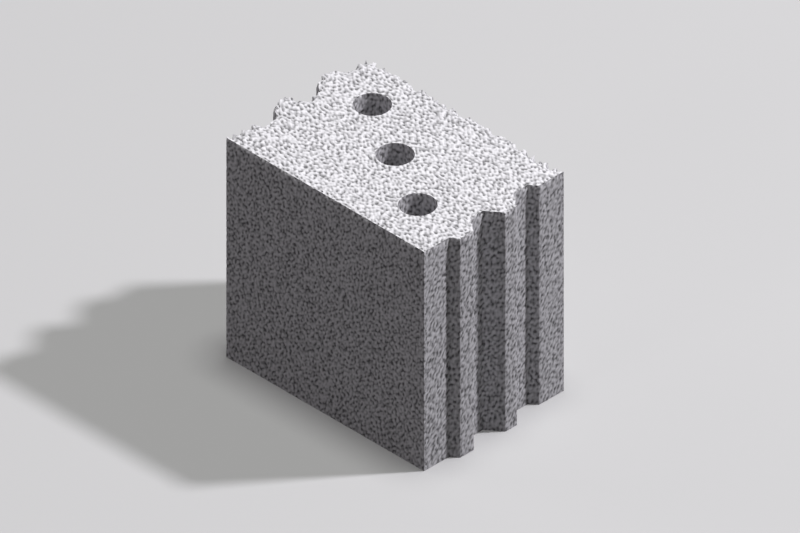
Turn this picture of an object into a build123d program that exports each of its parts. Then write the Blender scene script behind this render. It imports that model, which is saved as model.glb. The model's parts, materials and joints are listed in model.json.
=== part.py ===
from build123d import *
from math import isclose
import os

# Concrete block with tongue-and-groove ends and three upright round holes, cast in one piece.
# It stands as it is laid in a wall: +X runs along the course, +Y through the wall and +Z up.
# The origin is in the middle of the lower bed. All sizes are in millimetres.

# Body, over its flat faces
block_length = 248.0
block_thickness = 175.0
block_height = 238.0

# Tongues and grooves of an end. A groove is as deep as a tongue stands out, so the next
# block's tongue fills it, apart from the joint that is left between the two end faces.
tongue_reach = 8.0
flank_run = 6.0
inner_width = 15.0
outer_width = 17.5
crest_radius = 2.0
root_radius = 2.5

# Round holes, in a row across the bed from one corner towards the opposite one
hole_diameter = 35.0
hole_count = 3
hole_step_along = 68.5
hole_step_across = 40.0

# Small radius of the upright corners between the wall faces and the end faces
corner_radius = 1.5

# Places that follow from these
face_x = block_length / 2
face_y = block_thickness / 2
crest_x = face_x + tongue_reach
floor_x = face_x - tongue_reach
inner_near = flank_run
inner_far = inner_near + inner_width
outer_near = inner_far + 2 * flank_run
outer_far = outer_near + outer_width
shoulder_y = outer_far + flank_run

# Half of the +X end, from its corner in to the middle: the plain shoulder, the outer tongue
# and the inner groove. The flank beside the groove crosses the end face in the middle.
end_half = [
    (face_x, -face_y),
    (face_x, -shoulder_y),
    (crest_x, -outer_far),
    (crest_x, -outer_near),
    (floor_x, -inner_far),
    (floor_x, -inner_near),
]
# The other half is the first one turned half a turn about that crossing, which makes an
# inner tongue of the groove and an outer groove of the tongue.
end_outline = end_half + [(2 * face_x - x, -y) for x, y in reversed(end_half)]

# The opposite end is the whole outline turned half a turn about the block's upright middle
# axis, so that in a course each tongue meets the next block's groove.
block_outline = end_outline + [(-x, -y) for x, y in end_outline]

hole_places = [
    (-hole_step_along * (i - (hole_count - 1) / 2), hole_step_across * (i - (hole_count - 1) / 2))
    for i in range(hole_count)
]


def on_end_face(corner, y):
    """True for a corner of the outline in the plane of an end face, y from the middle."""
    return isclose(abs(corner.X), face_x) and isclose(abs(corner.Y), y)


def is_crest(corner):
    """True for an outward corner: a tongue's crest, or the mouth of an outer groove."""
    at_mouth = on_end_face(corner, shoulder_y) and corner.X * corner.Y > 0
    return isclose(abs(corner.X), crest_x) or at_mouth


def is_root(corner):
    """True for an inward corner: a groove's floor, or the foot of an outer tongue."""
    at_foot = on_end_face(corner, shoulder_y) and corner.X * corner.Y < 0
    return isclose(abs(corner.X), floor_x) or at_foot


def is_outer_corner(corner):
    """True for a corner between a wall face and an end face."""
    return on_end_face(corner, face_y)


with BuildPart() as concrete_block:
    with BuildSketch(Plane.XY):
        with BuildLine():
            Polyline(*block_outline, close=True)
        make_face()
        crests = vertices().filter_by(is_crest)
        roots = vertices().filter_by(is_root)
        outer_corners = vertices().filter_by(is_outer_corner)
        fillet(crests, radius=crest_radius)
        fillet(roots, radius=root_radius)
        fillet(outer_corners, radius=corner_radius)
    extrude(amount=block_height)
    with Locations(*hole_places):
        Hole(radius=hole_diameter / 2)

concrete_block.part.label = "concrete_block"

os.makedirs("parts", exist_ok=True)
export_step(concrete_block.part, "parts/concrete_block.step")
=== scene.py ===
import json
import math

import bmesh
import bpy
import numpy as np
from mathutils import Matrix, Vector
from mathutils.geometry import delaunay_2d_cdt


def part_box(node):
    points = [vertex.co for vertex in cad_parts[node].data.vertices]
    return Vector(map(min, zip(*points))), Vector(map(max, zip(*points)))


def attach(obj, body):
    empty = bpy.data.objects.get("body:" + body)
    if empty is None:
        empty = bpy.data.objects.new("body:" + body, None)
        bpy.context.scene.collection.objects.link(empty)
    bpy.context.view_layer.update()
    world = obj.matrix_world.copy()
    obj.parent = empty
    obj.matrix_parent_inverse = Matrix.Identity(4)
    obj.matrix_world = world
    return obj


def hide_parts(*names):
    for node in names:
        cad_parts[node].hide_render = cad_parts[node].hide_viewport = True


# Granular concrete block in a plain studio. Lengths are in metres.

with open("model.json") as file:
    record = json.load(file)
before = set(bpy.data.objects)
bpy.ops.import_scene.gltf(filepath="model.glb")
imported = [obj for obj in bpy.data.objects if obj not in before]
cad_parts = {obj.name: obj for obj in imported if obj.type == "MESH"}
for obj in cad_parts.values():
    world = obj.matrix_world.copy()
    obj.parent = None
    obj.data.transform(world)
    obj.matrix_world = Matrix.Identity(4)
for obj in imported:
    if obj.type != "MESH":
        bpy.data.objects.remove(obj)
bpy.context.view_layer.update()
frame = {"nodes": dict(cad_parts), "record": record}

MM = 0.001
NODE = "concrete_block"
SEED = 11

# Mesh of the block before its grain is pressed in. The jitter and the clearance from an edge
# are shares of the spacing, which is wider in a hole between its two mouths.
SPACING = 1.9 * MM
HOLE_MIDDLE_SPACING = 6.0 * MM
HOLE_MOUTH = 40.0 * MM
JITTER = 0.28
EDGE_CLEARANCE = 0.75
SAME_PLACE = 0.01 * MM

# How a bed is cut into triangles: everywhere between its outermost points, and as one point
# where two lie nearer to each other than this
WHOLE_HULL = 0
CUT_TOLERANCE = 1e-9

# The finished mesh: how many triangles it may have, and the angle from which an edge is sharp
MOST_TRIANGLES = 196_000
SHARP_EDGE = math.radians(55.0)

# Grain: its size, how far off its surroundings are that even it out, how strong it is, and the
# value that it swings about. Its noise is turned by an angle about an axis, because it is too
# regular in the planes that are square to its own directions.
GRAIN_SIZE = 3.05 * MM
GRAIN_SURROUNDINGS = 1.45 * MM
GRAIN_SWING = 1.6
GRAIN_MIDDLE = 0.5
NOISE_AXIS = (1.0, 2.0, 3.0)
NOISE_TURN = 1.0

# How deep the gaps reach below each kind of face. The upper face has the walls' relief at its
# edges and its own from this far inside them.
TOP_RELIEF = 1.25 * MM
WALL_RELIEF = 0.34 * MM
HOLE_RELIEF = 0.3 * MM
RIM_REACH = 1.5 * MM

# Height of the grain from the bottom of a gap up: values of the noise, and heights from 0 to 1
GRAIN_STEPS = ((0.25, 0.0), (0.40, 0.60), (0.50, 0.86), (0.75, 1.0))

# Crumbled upper edges: how deep they are on the two far sides and on the two near ones, and
# how far in this reaches. Then the noise of the nicks, and its values where one starts and
# where it is deepest.
FAR_EDGE_WEAR = 1.3 * MM
NEAR_EDGE_WEAR = 0.8 * MM
WEAR_REACH = 7.0 * MM
NICK_SIZE = 5.5 * MM
NICK_DETAIL = 2.0
NICK_ROUGHNESS = 0.6
NICK_START = 0.36
NICK_DEEPEST = 0.60

# Chips knocked out of the two far upper edges: how far in they reach, and the share of half
# their width over which they run out. In millimetres: the place along X on the far wall and
# along Y on the left end, half the chip's width, its depth.
CHIP_REACH = 11.0 * MM
CHIP_SLOPE = 0.5
FAR_WALL_CHIPS = (
    (-120, 5, 3.4), (-107, 4, 1.5), (-60, 6, 2.4), (-36, 3, 1.6), (-29, 4, 2.3), (-19, 4, 2.8),
    (-2, 8, 2.2), (38, 4, 1.4), (69, 6, 1.8), (83, 4, 3.7), (93, 4.5, 6.0), (100, 3, 2.2),
    (110, 5, 4.4), (120, 3, 1.9),
)
LEFT_END_CHIPS = (
    (-84.5, 4.5, 3.5), (-74, 4, 2.7), (-61, 5, 3.0), (-46, 6, 2.2), (-21, 6, 2.0), (5, 8, 2.0),
    (35, 5, 2.6), (64, 6, 2.6), (71, 4, 3.2), (82, 6, 4.3),
)

# Which part of the surface a face belongs to. The other holes follow on from the first.
TOP, BOTTOM, NEAR_WALL, RIGHT_END, FAR_WALL, LEFT_END, FIRST_HOLE = range(7)

# A stretch of the outer edge is a wall's as long as it is this near to the wall's face
WALL_BAND = 1.0 * MM

# The parts in the rows of the map for baked colours, and the gap between them
BAKE_ROWS = (
    (NEAR_WALL, RIGHT_END, FAR_WALL),
    (LEFT_END, FIRST_HOLE, FIRST_HOLE + 1, FIRST_HOLE + 2),
    (TOP, BOTTOM),
)
BAKE_GAP = 5.0 * MM

# The direction in which the grain is longer on the beds, the walls, the ends and in the holes,
# and how many times longer it is there. Then the same for each part of the surface in turn.
ON_BEDS = ((0.93, -0.37, 0.0), 1.45)
ON_WALLS = ((0.53, 0.0, 0.85), 1.45)
ON_ENDS = ((0.0, 0.4, 0.92), 1.5)
IN_HOLES = ((0.0, 0.0, 1.0), 1.4)
GRAIN_LENGTHENED = (ON_BEDS, ON_BEDS, ON_WALLS, ON_ENDS, ON_WALLS, ON_ENDS, IN_HOLES)

# Concrete: how light it is for each value of the noise, its slight tint, and its fine bumps. Its
# low values are the gaps, darker partly in their own grey and partly with painted shade.
GRAIN_TONES_AND_GAP_SHADE = ((0.22, 0.15), (0.40, 0.41), (0.50, 0.54), (0.60, 0.64), (0.75, 0.755))
TINT = (1.0, 0.992, 1.022)
ROUGHNESS = 0.92
SPECULAR = 0.25
BUMP_SIZE = 1.2 * MM
BUMP_DETAIL = 1.0
BUMP_HEIGHT = 0.3 * MM
BUMP_STRENGTH = 0.3

# Studio: how light the floor and the surroundings are for whatever looks at them, and for
# the light that they return to the block
FLOOR_WIDTH = 12.0
FLOOR_SEEN = 0.52
FLOOR_UNSEEN = 0.08
SURROUNDINGS_SEEN = 0.9
SURROUNDINGS_UNSEEN = 0.0965

# Lamps: azimuth from +X towards +Y and elevation in degrees, width, power in watts, and colour.
# The upright sides are a little violet in the picture, and the upper face is white.
LAMP_DISTANCE = 9.0
LILAC = (1.0, 0.982, 1.035)
CREAM = (1.0, 1.01, 0.985)
SHADE = (1.0, 0.94, 0.99)
LAMPS = (
    ("key", 50.0, 49.0, 0.7, 636.0, LILAC),
    ("overhead", 50.0, 88.0, 2.7, 447.0, CREAM),
    ("fill", -155.0, 25.0, 4.5, 47.0, SHADE),
    ("side", -90.0, 25.0, 2.0, 29.0, SHADE),
)

# Camera: the picture is a true isometric view
CAMERA_AZIMUTH = math.radians(45.0)
CAMERA_ELEVATION = math.atan(1 / math.sqrt(2))
PICTURE_WIDTH = 800
PIXELS_PER_METRE = 1129.0
OBJECT_MIDDLE_IN_PICTURE = (395.05, 264.1)
PICTURE_MIDDLE = (400.0, 266.5)
CAMERA_DISTANCE = 2.0


def rim_of(mesh, height):
    """The outer edge of the block's upper face as a closed row of points, anticlockwise.

    It starts at its first point along X and then Y, so that it is the same in each run.
    """
    form = bmesh.new()
    form.from_mesh(mesh)
    bmesh.ops.remove_doubles(form, verts=form.verts, dist=SAME_PLACE)
    upper = {f for f in form.faces if min(v.co.z for v in f.verts) > height - SAME_PLACE}
    following = {}
    for face in upper:
        for corner in face.loops:
            if not upper.issuperset(corner.edge.link_faces):
                following[corner.vert] = corner.link_loop_next.vert
    loops = []
    while following:
        start, vert = following.popitem()
        loop = [start]
        while vert is not start:
            loop.append(vert)
            vert = following.pop(vert)
        loops.append(np.array([v.co.xy for v in loop]))
    form.free()
    rim = max(loops, key=lambda points: np.ptp(points[:, 0]))
    first = np.lexsort((rim[:, 1], rim[:, 0]))[0]
    return np.roll(rim, -first, axis=0)


def divided(rim, spacing):
    """The rim with points added along its straight stretches, and which points are its own."""
    points, own = [], []
    for start, end in zip(rim, np.roll(rim, -1, axis=0)):
        count = max(1, round(float(np.linalg.norm(end - start)) / spacing))
        for i in range(count):
            points.append(start + (end - start) * i / count)
            own.append(i == 0)
    return np.array(points), np.array(own)


def circle(centre, radius, spacing):
    """Points of a hole's edge, clockwise, so that the concrete lies on the left of it."""
    count = round(2 * math.pi * radius / spacing)
    angle = -2 * math.pi * np.arange(count) / count
    return centre + radius * np.stack([np.cos(angle), np.sin(angle)], axis=1)


def outward_of(loop):
    """Unit vectors that point out of the concrete at each point of a loop."""
    along = np.roll(loop, -1, axis=0) - loop
    along /= np.linalg.norm(along, axis=1)[:, None]
    normal = np.stack([along[:, 1], -along[:, 0]], axis=1)
    both = normal + np.roll(normal, 1, axis=0)
    return both / np.linalg.norm(both, axis=1)[:, None]


def inside(points, loop):
    """Whether each point lies inside a closed loop."""
    result = np.zeros(len(points), bool)
    for (ax, ay), (bx, by) in zip(loop, np.roll(loop, -1, axis=0)):
        if ay == by:
            continue
        crosses = (points[:, 1] < ay) != (points[:, 1] < by)
        at = ax + (points[:, 1] - ay) * (bx - ax) / (by - ay)
        result ^= crosses & (points[:, 0] < at)
    return result


def nearest(points, edge):
    """The distance from each point to the nearest point of an edge, and that one's number.

    The points are taken in batches, to save memory.
    """
    distance = np.empty(len(points))
    number = np.empty(len(points), int)
    batches = 40
    for batch in np.array_split(np.arange(len(points)), batches):
        apart = np.linalg.norm(points[batch, None] - edge[None], axis=2)
        number[batch] = apart.argmin(axis=1)
        distance[batch] = apart.min(axis=1)
    return distance, number


def bed_triangles(loops, spacing, random):
    """Points inside the bed and its triangles, which number the loops' points first."""
    low, high = loops[0].min(axis=0), loops[0].max(axis=0)
    row_height = spacing * math.sqrt(3) / 2
    rows = np.arange(low[1], high[1], row_height)
    columns = np.arange(low[0], high[0], spacing)
    x, y = np.meshgrid(columns, rows)
    x[1::2] += spacing / 2
    points = np.stack([x.ravel(), y.ravel()], axis=1)
    points += random.uniform(-1, 1, points.shape) * JITTER * spacing
    distance, _ = nearest(points, np.concatenate(loops))
    keep = inside(points, loops[0]) & (distance > EDGE_CLEARANCE * spacing)
    for hole in loops[1:]:
        keep &= ~inside(points, hole)
    points = points[keep]
    everything = np.concatenate([*loops, points])
    edges, first = [], 0
    for loop in loops:
        count = len(loop)
        edges += [(first + i, first + (i + 1) % count) for i in range(count)]
        first += count
    places = [Vector(p) for p in everything]
    found = delaunay_2d_cdt(places, edges, [], WHOLE_HULL, CUT_TOLERANCE, True)
    _, _, faces, origins, *_ = found
    origin = [numbers[0] for numbers in origins]
    triangles = np.array([[origin[v] for v in face] for face in faces])
    middle = everything[triangles].mean(axis=1)
    keep = inside(middle, loops[0])
    for hole in loops[1:]:
        keep &= ~inside(middle, hole)
    triangles = triangles[keep]
    a, b, c = (everything[triangles[:, i]] for i in range(3))
    turn = (b[:, 0] - a[:, 0]) * (c[:, 1] - a[:, 1]) - (b[:, 1] - a[:, 1]) * (c[:, 0] - a[:, 0])
    triangles[turn < 0] = triangles[turn < 0][:, ::-1]
    return points, triangles


class Shell:
    """Collects the block's points with what is known about each, and its faces."""

    def __init__(self):
        self.known = {"rest": [], "outward": [], "relief": [], "wear": [], "chipped": []}
        self.faces = []
        self.parts = []
        self.count = 0

    def add(self, rest, outward, relief, wear=0.0, chipped=0.0):
        """Adds points and returns their numbers."""
        count = len(rest)
        given = (rest, outward, relief, wear, chipped)
        for (name, column), value in zip(self.known.items(), given):
            shape = (count, 3) if name in ("rest", "outward") else count
            column.append(np.broadcast_to(value, shape).astype(np.float32))
        self.count += count
        return np.arange(self.count - count, self.count)

    def face(self, rows, part):
        """Adds faces, and notes which part they belong to."""
        self.faces += rows.tolist()
        self.parts += np.broadcast_to(part, len(rows)).tolist()

    def join(self, lower, upper, part):
        """A row of quads between two closed rows of points."""
        rows = np.stack([lower, np.roll(lower, -1), np.roll(upper, -1), upper], axis=1)
        self.face(rows, part)


def at_height(points, z):
    """Flat points with a third coordinate."""
    return np.column_stack([points, np.full(len(points), z)])


def eased(value):
    """0 to 1 with soft ends."""
    value = np.clip(value, 0.0, 1.0)
    return value * value * (3 - 2 * value)


def wall(shell, loop, rims, heights, fixed, relief, wear, chipped, part, random):
    """The upright surface over a loop, between the rims that the beds share with it."""
    sideways = outward_of(loop)
    along = np.stack([-sideways[:, 1], sideways[:, 0]], axis=1)
    step = np.linalg.norm(np.roll(loop, -1, axis=0) - loop, axis=1)
    free = np.where(fixed, 0.0, JITTER * np.minimum(step, np.roll(step, 1)))
    previous = rims[0]
    for i, z in enumerate(heights[1:-1], start=1):
        slack = JITTER * min(heights[i + 1] - z, z - heights[i - 1])
        shift = random.uniform(-1, 1, len(loop)) * free
        points = at_height(loop + along * shift[:, None], z)
        points[:, 2] += random.uniform(-1, 1, len(loop)) * slack
        below = heights[-1] - z
        near_top = eased(1 - below / WEAR_REACH)
        outward = at_height(sideways, near_top if np.any(wear) else 0.0)
        deepest = chipped * eased(1 - below / CHIP_REACH)
        numbers = shell.add(points, outward, relief, wear * near_top, deepest)
        shell.join(previous, numbers, part)
        previous = numbers
    shell.join(previous, rims[1], part)


def graded(low, high):
    """Heights for a hole's wall: close together at both mouths, wider in between."""
    mouth = np.linspace(0, HOLE_MOUTH, round(HOLE_MOUTH / SPACING) + 1)
    middle_length = high - low - 2 * HOLE_MOUTH
    middle = np.linspace(0, middle_length, round(middle_length / HOLE_MIDDLE_SPACING) + 1)
    return np.concatenate([low + mouth, low + HOLE_MOUTH + middle[1:-1], high - mouth[::-1]])


def side_of(loop, low, high):
    """Which of the four sides each stretch of the outer edge belongs to."""
    middle = (loop + np.roll(loop, -1, axis=0)) / 2
    side = np.where(middle[:, 0] > 0, RIGHT_END, LEFT_END)
    side[middle[:, 1] < low.y + WALL_BAND] = NEAR_WALL
    side[middle[:, 1] > high.y - WALL_BAND] = FAR_WALL
    return side


def chip_depth(loop, sides):
    """How deep the chips are at each point of the outer edge."""
    depth = np.zeros(len(loop))
    for side, axis, chips in ((FAR_WALL, 0, FAR_WALL_CHIPS), (LEFT_END, 1, LEFT_END_CHIPS)):
        for place, half_width, deepest in chips:
            apart = np.abs(loop[:, axis] - place * MM) / (half_width * MM)
            here = deepest * MM * eased((1 - apart) / CHIP_SLOPE)
            depth = np.where(sides == side, np.maximum(depth, here), depth)
    return depth


def block_loops():
    """The block's outer edge, which of its points are the frame's own, and the holes' edges."""
    _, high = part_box(NODE)
    rim, fixed = divided(rim_of(frame["nodes"][NODE].data, high.z), SPACING)
    holes = [
        circle(np.array(m["pos_m"][:2]), m["dims"]["r_mm"] * MM, SPACING)
        for m in frame["record"]["mounts"]
        if m["kind"] == "bore"
    ]
    return rim, fixed, holes


def block_shell(rim, fixed, holes, random):
    """The block's whole surface, before its grain: two beds, the outer wall and the holes."""
    low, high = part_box(NODE)
    inner, triangles = bed_triangles([rim, *holes], SPACING, random)
    sideways = outward_of(rim)
    sides = side_of(rim, low, high)
    far = np.isin(sides, (FAR_WALL, LEFT_END))
    edge_wear = np.where(far, FAR_EDGE_WEAR, NEAR_EDGE_WEAR)
    chips = chip_depth(rim, sides)
    distance, number = nearest(inner, rim)
    near_edge = eased(1 - distance / WEAR_REACH)
    from_far, far_number = nearest(inner, rim[far])
    chips_inside = chips[far][far_number] * eased(1 - from_far / CHIP_REACH)
    clear, _ = nearest(inner, np.concatenate([rim, *holes]))
    top_relief = WALL_RELIEF + (TOP_RELIEF - WALL_RELIEF) * eased(clear / RIM_REACH)

    shell = Shell()
    rims = []
    for z, up, part in ((low.z, -1.0, BOTTOM), (high.z, 1.0, TOP)):
        on_top = up > 0
        edge = at_height(rim, z)
        outward = at_height(sideways, up)
        numbers = [shell.add(edge, outward, WALL_RELIEF, edge_wear * on_top, chips * on_top)]
        for hole in holes:
            edge = at_height(hole, z)
            outward = at_height(outward_of(hole), up)
            numbers.append(shell.add(edge, outward, HOLE_RELIEF))
        bed = at_height(inner, z)
        outward = at_height(sideways[number] * near_edge[:, None] * on_top, up)
        relief = top_relief if on_top else WALL_RELIEF
        wear = edge_wear[number] * near_edge * on_top
        numbers.append(shell.add(bed, outward, relief, wear, chips_inside * on_top))
        rims.append(numbers)
        every = np.concatenate(numbers)
        shell.face(every[triangles if on_top else triangles[:, ::-1]], part)
    heights = np.linspace(low.z, high.z, round((high.z - low.z) / SPACING) + 1)
    outer = (rims[0][0], rims[1][0])
    wall(shell, rim, outer, heights, fixed, WALL_RELIEF, edge_wear, chips, sides, random)
    heights = graded(low.z, high.z)
    for i, hole in enumerate(holes):
        ends = (rims[0][i + 1], rims[1][i + 1])
        none_fixed = np.zeros(len(hole), bool)
        part = FIRST_HOLE + i
        wall(shell, hole, ends, heights, none_fixed, HOLE_RELIEF, 0.0, 0.0, part, random)
    return shell


def drawn_out(direction, times):
    """The vector v for which a field read at p - v (v . p) is so many times longer along it."""
    return Vector(direction).normalized() * math.sqrt(1 - 1 / times)


def mesh_of(shell):
    """A mesh of the shell, with what its points know stored on them."""
    mesh = bpy.data.meshes.new("granular_block")
    known = {name: np.concatenate(values) for name, values in shell.known.items()}
    mesh.from_pydata(known["rest"], [], shell.faces)
    for name, values in known.items():
        if values.ndim == 2:
            layer = mesh.attributes.new(name, "FLOAT_VECTOR", "POINT")
            layer.data.foreach_set("vector", values.ravel())
        else:
            layer = mesh.attributes.new(name, "FLOAT", "POINT")
            layer.data.foreach_set("value", values)
    part = mesh.attributes.new("part", "INT", "FACE")
    part.data.foreach_set("value", shell.parts)
    drawn = np.array([drawn_out(*pair) for pair in GRAIN_LENGTHENED], np.float32)
    layer = mesh.attributes.new("drawn_out", "FLOAT_VECTOR", "FACE")
    layer.data.foreach_set("vector", drawn[np.minimum(shell.parts, FIRST_HOLE)].ravel())
    return mesh


class Nodes:
    """Short calls to build the same nodes in a material or in geometry nodes."""

    def __init__(self, tree):
        self.tree = tree

    def add(self, kind, settings=None, **inputs):
        """A new node of a kind, with its settings and with what goes into its inputs."""
        node = self.tree.nodes.new(kind)
        for name, value in (settings or {}).items():
            setattr(node, name, value)
        for name, value in inputs.items():
            self.put(node.inputs[name], value)
        return node

    def put(self, socket, value):
        """Links another node's output to an input, or sets a plain value on it."""
        if isinstance(value, bpy.types.NodeSocket):
            self.tree.links.new(value, socket)
        else:
            socket.default_value = value

    def put_all(self, sockets, values):
        """The same for several inputs in turn."""
        for socket, value in zip(sockets, values):
            self.put(socket, value)

    def math(self, operation, *values):
        """The result of a sum on numbers."""
        node = self.add("ShaderNodeMath", {"operation": operation})
        self.put_all(node.inputs, values)
        return node.outputs[0]

    def vector(self, operation, *values):
        """The result of a sum on vectors, as a vector."""
        node = self.add("ShaderNodeVectorMath", {"operation": operation})
        self.put_all(node.inputs, values)
        return node.outputs["Vector"]

    def dot(self, one, other):
        """The dot product of two vectors."""
        node = self.add("ShaderNodeVectorMath", {"operation": "DOT_PRODUCT"})
        self.put_all(node.inputs, (one, other))
        return node.outputs["Value"]

    def scaled(self, vector, factor):
        """A vector times a number."""
        node = self.add("ShaderNodeVectorMath", {"operation": "SCALE"}, Scale=factor)
        self.put(node.inputs[0], vector)
        return node.outputs["Vector"]

    def turned(self, place, axis, angle):
        """A place turned by an angle about an axis through the origin."""
        about = {"rotation_type": "AXIS_ANGLE"}
        node = self.add("ShaderNodeVectorRotate", about, Vector=place, Axis=axis, Angle=angle)
        return node.outputs[0]

    def noise(self, place, size, detail=0.0, roughness=0.5):
        """Noise from about 0 to 1, with features of a size."""
        node = self.add(
            "ShaderNodeTexNoise",
            {"noise_dimensions": "3D"},
            Vector=place,
            Scale=1 / size,
            Detail=detail,
            Roughness=roughness,
        )
        return node.outputs[0]

    def eased(self, value, low, high):
        """0 to 1 for a value from low to high, with soft ends."""
        node = self.add("ShaderNodeMapRange", {"interpolation_type": "SMOOTHSTEP"}, Value=value)
        self.put(node.inputs["From Min"], low)
        self.put(node.inputs["From Max"], high)
        return node.outputs["Result"]


def evened_noise(nodes, rest, drawn):
    """Noise less the mean round it, so that no patch is dark or pale as a whole."""
    place = nodes.vector("SUBTRACT", rest, nodes.scaled(drawn, nodes.dot(rest, drawn)))
    place = nodes.turned(place, NOISE_AXIS, NOISE_TURN)
    level = nodes.noise(place, GRAIN_SIZE)
    corners = ((1, 1, 1), (1, -1, -1), (-1, 1, -1), (-1, -1, 1))
    for corner in corners:
        beside = nodes.vector("ADD", place, Vector(corner).normalized() * GRAIN_SURROUNDINGS)
        around = nodes.noise(beside, GRAIN_SIZE)
        level = nodes.math("MULTIPLY_ADD", around, -1 / len(corners), level)
    return nodes.math("MULTIPLY_ADD", level, GRAIN_SWING, GRAIN_MIDDLE)


def grain(nodes, rest, drawn, steps):
    """What the steps give for the grain at a place. Gaps lie where its noise is low."""
    node = nodes.add("ShaderNodeValToRGB", Fac=evened_noise(nodes, rest, drawn))
    ramp = node.color_ramp
    while len(ramp.elements) < len(steps):
        ramp.elements.new(GRAIN_MIDDLE)
    for element, (value, given) in zip(ramp.elements, steps):
        element.position = value
        element.color = (given, given, given, 1)
    return node.outputs[0]


def crumbling(nodes, rest):
    """How much of the worn edges is gone at a place: 1 in a nick and 0 on a grain that stayed."""
    field = nodes.noise(rest, NICK_SIZE, NICK_DETAIL, NICK_ROUGHNESS)
    return nodes.eased(field, NICK_START, NICK_DEEPEST)


def press_grain(piece):
    """Geometry nodes that move each point inwards by the grain's depth there."""
    tree = bpy.data.node_groups.new("press_grain", "GeometryNodeTree")
    tree.interface.new_socket("Geometry", in_out="INPUT", socket_type="NodeSocketGeometry")
    tree.interface.new_socket("Geometry", in_out="OUTPUT", socket_type="NodeSocketGeometry")
    nodes = Nodes(tree)
    source = nodes.add("NodeGroupInput")
    rest = named(nodes, "rest", "FLOAT_VECTOR")
    drawn = named(nodes, "drawn_out", "FLOAT_VECTOR")
    outward = named(nodes, "outward", "FLOAT_VECTOR")
    relief = named(nodes, "relief", "FLOAT")
    wear = named(nodes, "wear", "FLOAT")
    chipped = named(nodes, "chipped", "FLOAT")
    depth = nodes.math("SUBTRACT", 1.0, grain(nodes, rest, drawn, GRAIN_STEPS))
    depth = nodes.math("MULTIPLY", depth, relief)
    depth = nodes.math("MULTIPLY_ADD", crumbling(nodes, rest), wear, depth)
    depth = nodes.math("ADD", depth, chipped)
    offset = nodes.scaled(outward, nodes.math("MULTIPLY", depth, -1.0))
    move = nodes.add("GeometryNodeSetPosition", Geometry=source.outputs[0], Offset=offset)
    target = nodes.add("NodeGroupOutput")
    tree.links.new(move.outputs[0], target.inputs[0])
    piece.modifiers.new("press_grain", "NODES").node_group = tree


def named(nodes, name, kind):
    """What the points know under a name."""
    node = nodes.add("GeometryNodeInputNamedAttribute", {"data_type": kind}, Name=name)
    return node.outputs["Attribute"]


def concrete():
    """Pale grey concrete: grains of slightly different greys with darker gaps, whose darkness is
    partly their own grey and partly painted shade that falls in them.
    """
    material = bpy.data.materials.new("concrete")
    material.use_nodes = True
    material.node_tree.nodes.clear()
    nodes = Nodes(material.node_tree)
    rest = nodes.add("ShaderNodeAttribute", {"attribute_name": "rest"}).outputs["Vector"]
    drawn = nodes.add("ShaderNodeAttribute", {"attribute_name": "drawn_out"}).outputs["Vector"]
    # The gaps' dark tones are partly painted shade, laid where the grain's relief is deepest.
    level = grain(nodes, rest, drawn, GRAIN_TONES_AND_GAP_SHADE)
    tint = nodes.add("ShaderNodeCombineColor", {"mode": "RGB"})
    nodes.put_all(tint.inputs, [nodes.math("MULTIPLY", level, share) for share in TINT])
    fine = nodes.noise(rest, BUMP_SIZE, BUMP_DETAIL)
    bump = nodes.add("ShaderNodeBump", Height=fine, Strength=BUMP_STRENGTH, Distance=BUMP_HEIGHT)
    shader = nodes.add("ShaderNodeBsdfPrincipled", Normal=bump.outputs[0], Roughness=ROUGHNESS)
    nodes.put(shader.inputs["Base Color"], tint.outputs[0])
    nodes.put(shader.inputs["Specular IOR Level"], SPECULAR)
    output = nodes.add("ShaderNodeOutputMaterial")
    nodes.tree.links.new(shader.outputs[0], output.inputs["Surface"])
    return material


def girth_at(places, loop):
    """How far round a loop the nearest spot on it lies for each place, and the whole way round."""
    step = np.roll(loop, -1, axis=0) - loop
    length = np.linalg.norm(step, axis=1)
    start = np.cumsum(length) - length
    _, number = nearest(places, loop)
    away = places - loop[number]
    ahead = np.sum(away * step[number], axis=1) / length[number]
    back = -np.sum(away * step[number - 1], axis=1) / length[number - 1]
    beyond = np.where(ahead > back, np.maximum(ahead, 0), -np.maximum(back, 0))
    return start[number] + beyond, length.sum()


def wrapped(value, whole):
    """A length round a loop, as the shorter way to it from its start."""
    return (value + whole / 2) % whole - whole / 2


def unrolled(rest, first, loop):
    """Flat places for the corners of an upright part. first is each face's first corner."""
    girth, whole = girth_at(rest[:, :2], loop)
    turn = np.exp(2j * math.pi * girth / whole).mean()
    middle = np.angle(turn) * whole / (2 * math.pi)
    across = wrapped(girth[first] - middle, whole) + wrapped(girth - girth[first], whole)
    return np.column_stack([across, rest[:, 2]])


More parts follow.
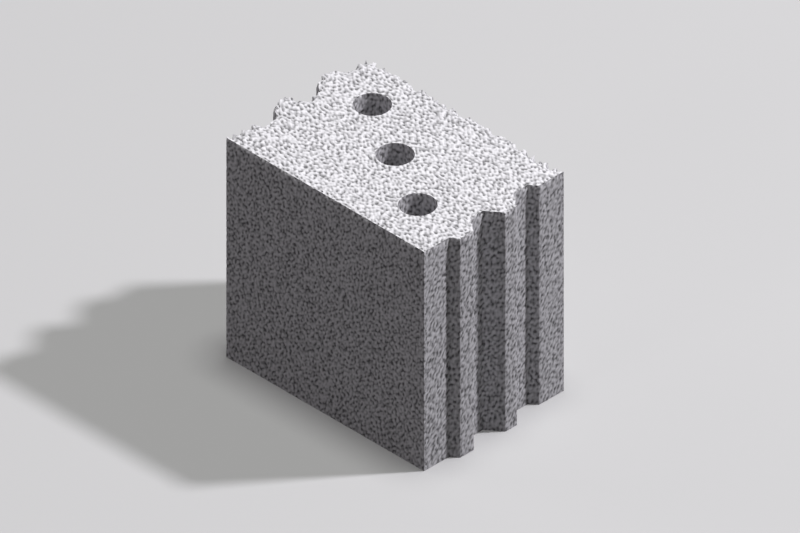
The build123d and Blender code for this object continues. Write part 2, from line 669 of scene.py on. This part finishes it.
def add_bake_map(mesh, rim, holes):
    """A map for baked colours: the beds, the four sides and the holes, flat beside each other."""
    corners = len(mesh.loops)
    vertex = np.empty(corners, np.int32)
    mesh.loops.foreach_get("vertex_index", vertex)
    start = np.empty(len(mesh.polygons), np.int32)
    mesh.polygons.foreach_get("loop_start", start)
    size = np.diff(np.append(start, corners))
    part = np.empty(len(mesh.polygons), np.int32)
    mesh.attributes["part"].data.foreach_get("value", part)
    part = np.repeat(part, size)
    first = np.repeat(start, size)
    rest = np.empty(len(mesh.vertices) * 3, np.float32)
    mesh.attributes["rest"].data.foreach_get("vector", rest)
    rest = rest.reshape(-1, 3)[vertex]

    flat = np.zeros((corners, 2))
    widest = top = 0.0
    for row in BAKE_ROWS:
        aside, tallest = 0.0, 0.0
        for name in row:
            mine = np.flatnonzero(part == name)
            if name in (TOP, BOTTOM):
                places = rest[mine, :2]
            else:
                loop = holes[name - FIRST_HOLE] if name >= FIRST_HOLE else rim
                places = unrolled(rest[mine], np.searchsorted(mine, first[mine]), loop)
            places = places - places.min(axis=0) + BAKE_GAP
            flat[mine] = places + (aside, top)
            aside += places[:, 0].max()
            tallest = max(tallest, places[:, 1].max())
        widest = max(widest, aside + BAKE_GAP)
        top += tallest
    flat /= max(widest, top + BAKE_GAP)
    layer = mesh.uv_layers.new(name="OFBake")
    layer.data.foreach_set("uv", flat.astype(np.float32).ravel())


def modified(piece):
    """Applies a piece's modifiers and returns the mesh that they make."""
    graph = bpy.context.evaluated_depsgraph_get()
    mesh = bpy.data.meshes.new_from_object(piece.evaluated_get(graph))
    piece.modifiers.clear()
    return mesh


def keep_in_box(mesh):
    """Brings back the few points that thinning the mesh left just outside the block's box."""
    low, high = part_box(NODE)
    place = np.empty(len(mesh.vertices) * 3, np.float32)
    mesh.vertices.foreach_get("co", place)
    place = place.reshape(-1, 3).clip(low, high)
    mesh.vertices.foreach_set("co", place.ravel())
    mesh.update()


def make_block():
    """The block with its grain, its chips and its material, in place of the plain one."""
    random = np.random.default_rng(SEED)
    rim, fixed, holes = block_loops()
    mesh = mesh_of(block_shell(rim, fixed, holes, random))
    piece = bpy.data.objects.new("granular_block", mesh)
    bpy.context.scene.collection.objects.link(piece)
    finer = piece.modifiers.new("finer", "SUBSURF")
    finer.subdivision_type = "SIMPLE"
    finer.levels = 1
    finer.render_levels = 1
    press_grain(piece)
    piece.data = modified(piece)
    triangles = sum(len(p.vertices) - 2 for p in piece.data.polygons)
    if triangles > MOST_TRIANGLES:
        fewer = piece.modifiers.new("fewer", "DECIMATE")
        fewer.ratio = MOST_TRIANGLES / triangles
        piece.data = modified(piece)
    keep_in_box(piece.data)
    add_bake_map(piece.data, rim, holes)
    piece.data.name = "granular_block"
    piece.data.polygons.foreach_set("use_smooth", [True] * len(piece.data.polygons))
    piece.data.set_sharp_from_angle(angle=SHARP_EDGE)
    piece.data.materials.append(concrete())
    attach(piece, "root")
    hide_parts(NODE)


def seen_and_unseen(nodes, seen, unseen):
    """A shader that differs between what looks at it and the light that it returns."""
    path = nodes.add("ShaderNodeLightPath")
    looks = nodes.math("MAXIMUM", path.outputs["Is Camera Ray"], path.outputs["Is Glossy Ray"])
    looks = nodes.math("MAXIMUM", looks, path.outputs["Is Transmission Ray"])
    mix = nodes.add("ShaderNodeMixShader", Fac=looks)
    nodes.tree.links.new(unseen, mix.inputs[1])
    nodes.tree.links.new(seen, mix.inputs[2])
    return mix.outputs[0]


def grey(level):
    """A plain grey as a colour."""
    return (level, level, level, 1.0)


def make_floor():
    """A level pale floor that returns little light to the block."""
    bpy.ops.mesh.primitive_plane_add(size=FLOOR_WIDTH, location=(0, 0, 0))
    floor = bpy.context.object
    floor.name = "floor"
    material = bpy.data.materials.new("floor")
    material.use_nodes = True
    material.node_tree.nodes.clear()
    nodes = Nodes(material.node_tree)
    pale = nodes.add("ShaderNodeBsdfDiffuse", Color=grey(FLOOR_SEEN))
    dim = nodes.add("ShaderNodeBsdfDiffuse", Color=grey(FLOOR_UNSEEN))
    surface = seen_and_unseen(nodes, pale.outputs[0], dim.outputs[0])
    output = nodes.add("ShaderNodeOutputMaterial")
    nodes.tree.links.new(surface, output.inputs["Surface"])
    floor.data.materials.append(material)


def make_world():
    """Pale surroundings that add a little light from all round."""
    world = bpy.data.worlds.new("studio")
    bpy.context.scene.world = world
    world.use_nodes = True
    world.node_tree.nodes.clear()
    nodes = Nodes(world.node_tree)
    pale = nodes.add("ShaderNodeBackground", Color=grey(SURROUNDINGS_SEEN))
    dim = nodes.add("ShaderNodeBackground", Color=(*SHADE, 1.0), Strength=SURROUNDINGS_UNSEEN)
    surface = seen_and_unseen(nodes, pale.outputs[0], dim.outputs[0])
    output = nodes.add("ShaderNodeOutputWorld")
    nodes.tree.links.new(surface, output.inputs["Surface"])


def make_lamp(name, azimuth, elevation, width, power, colour):
    """A round soft light that faces the block."""
    data = bpy.data.lights.new(name, "AREA")
    data.shape = "DISK"
    data.size = width
    data.energy = power
    data.color = colour
    lamp = bpy.data.objects.new(name, data)
    bpy.context.scene.collection.objects.link(lamp)
    azimuth, elevation = math.radians(azimuth), math.radians(elevation)
    level = math.cos(elevation)
    towards = Vector((level * math.cos(azimuth), level * math.sin(azimuth), math.sin(elevation)))
    lamp.location = towards * LAMP_DISTANCE
    lamp.rotation_euler = towards.to_track_quat("Z", "Y").to_euler()


def make_camera():
    """Looks at the block from where the picture does, with the block in the same place."""
    data = bpy.data.cameras.new("camera")
    data.type = "ORTHO"
    data.ortho_scale = PICTURE_WIDTH / PIXELS_PER_METRE
    camera = bpy.data.objects.new("camera", data)
    bpy.context.scene.collection.objects.link(camera)
    bpy.context.scene.camera = camera
    low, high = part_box(NODE)
    backward = Vector((
        math.sin(CAMERA_AZIMUTH) * math.cos(CAMERA_ELEVATION),
        -math.cos(CAMERA_AZIMUTH) * math.cos(CAMERA_ELEVATION),
        math.sin(CAMERA_ELEVATION),
    ))
    right = Vector((math.cos(CAMERA_AZIMUTH), math.sin(CAMERA_AZIMUTH), 0))
    up = backward.cross(right)
    aside = (PICTURE_MIDDLE[0] - OBJECT_MIDDLE_IN_PICTURE[0]) / PIXELS_PER_METRE
    below = (PICTURE_MIDDLE[1] - OBJECT_MIDDLE_IN_PICTURE[1]) / PIXELS_PER_METRE
    aim = (low + high) / 2 + right * aside - up * below
    camera.location = aim + backward * CAMERA_DISTANCE
    camera.rotation_euler = backward.to_track_quat("Z", "Y").to_euler()


scene = bpy.context.scene
scene.view_settings.view_transform = "Standard"

make_block()
make_floor()
make_world()
for lamp in LAMPS:
    make_lamp(*lamp)
make_camera()
